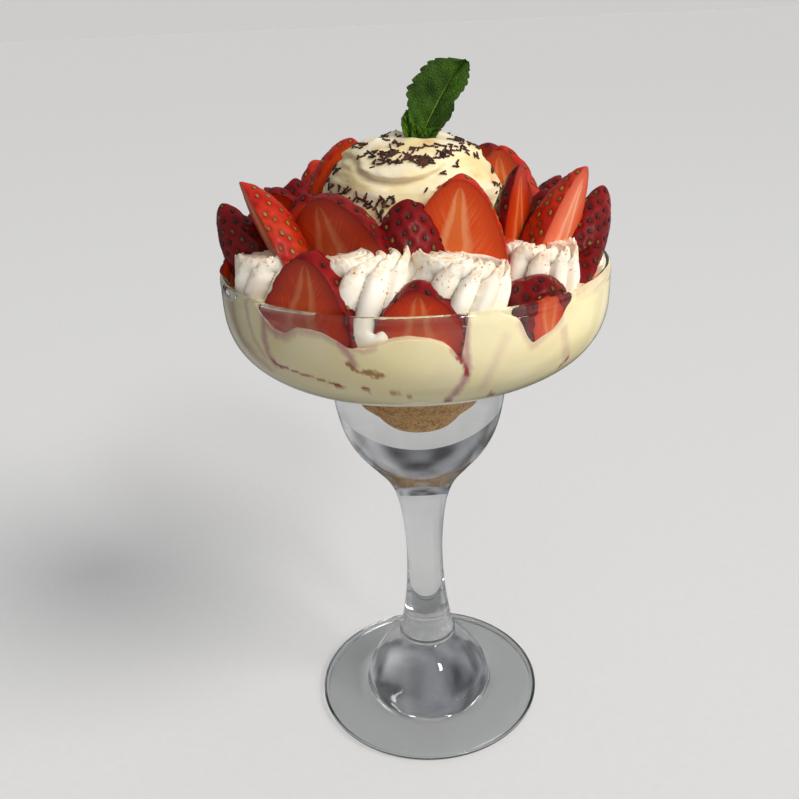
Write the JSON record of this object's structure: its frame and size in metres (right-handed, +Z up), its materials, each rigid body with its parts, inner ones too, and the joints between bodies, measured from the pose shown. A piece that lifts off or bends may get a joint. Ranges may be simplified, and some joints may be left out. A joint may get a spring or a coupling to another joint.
{
  "type": "strawberry sundae in a stemmed glass",
  "caption": "Stemmed coupe glass filled with biscuit crumb and custard cream, ringed by strawberry slices and piped cream, with a scoop of ice cream and a mint sprig on top.",
  "frame": {"origin": "middle of the foot's underside, on the surface it stands on", "axes": "+Z up the glass; -Y towards the side that was pictured"},
  "size_m": [0.1148, 0.1148, 0.2161],
  "materials": {
    "glass": "clear pressed soda-lime glass, smooth",
    "crumb": "dry golden-brown biscuit crumb, matte and grainy",
    "custard": "pale yellow custard cream, smooth and moist",
    "whipped": "piped whipped cream, satin, off-white",
    "ice_cream": "soft vanilla ice cream, smeared, moist",
    "berry": "cut strawberry: wet paler cut faces and glossy seeded red skin",
    "mint": "fresh mint leaf, satin green with pale veins"
  },
  "bodies": {
    "root": {"crumb_base": "crumb", "custard_cream": "custard", "glass": "glass", "half_back": "berry", "half_back_corner": "berry", "half_back_edge": "berry", "half_back_left": "berry", "half_back_right": "berry", "half_behind_right": "berry", "half_dark_left": "berry", "half_dark_middle": "berry", "half_dark_right": "berry", "half_far_left": "berry", "half_left": "berry", "half_middle_right": "berry", "half_right": "berry", "ice_cream_mound": "ice_cream", "mint_sprig": "mint", "rosette_back": "whipped", "rosette_back_left": "whipped", "rosette_back_middle": "whipped", "rosette_back_right": "whipped", "rosette_far_left": "whipped", "rosette_far_right": "whipped", "rosette_left": "whipped", "rosette_middle_left": "whipped", "rosette_middle_right": "whipped", "rosette_right": "whipped", "slice_back": "berry", "slice_back_corner": "berry", "slice_back_edge": "berry", "slice_back_left": "berry", "slice_back_right": "berry", "slice_behind_left": "berry", "slice_front": "berry", "slice_left": "berry", "slice_rim_back_corner": "berry", "slice_rim_back_edge": "berry", "slice_rim_back_left": "berry", "slice_rim_back_middle": "berry", "slice_rim_back_right": "berry", "slice_rim_far_left": "berry", "slice_rim_far_right": "berry", "slice_rim_front": "berry", "slice_rim_left": "berry", "slice_rim_right": "berry", "slice_small_left": "berry"}
  },
  "joints": []
}
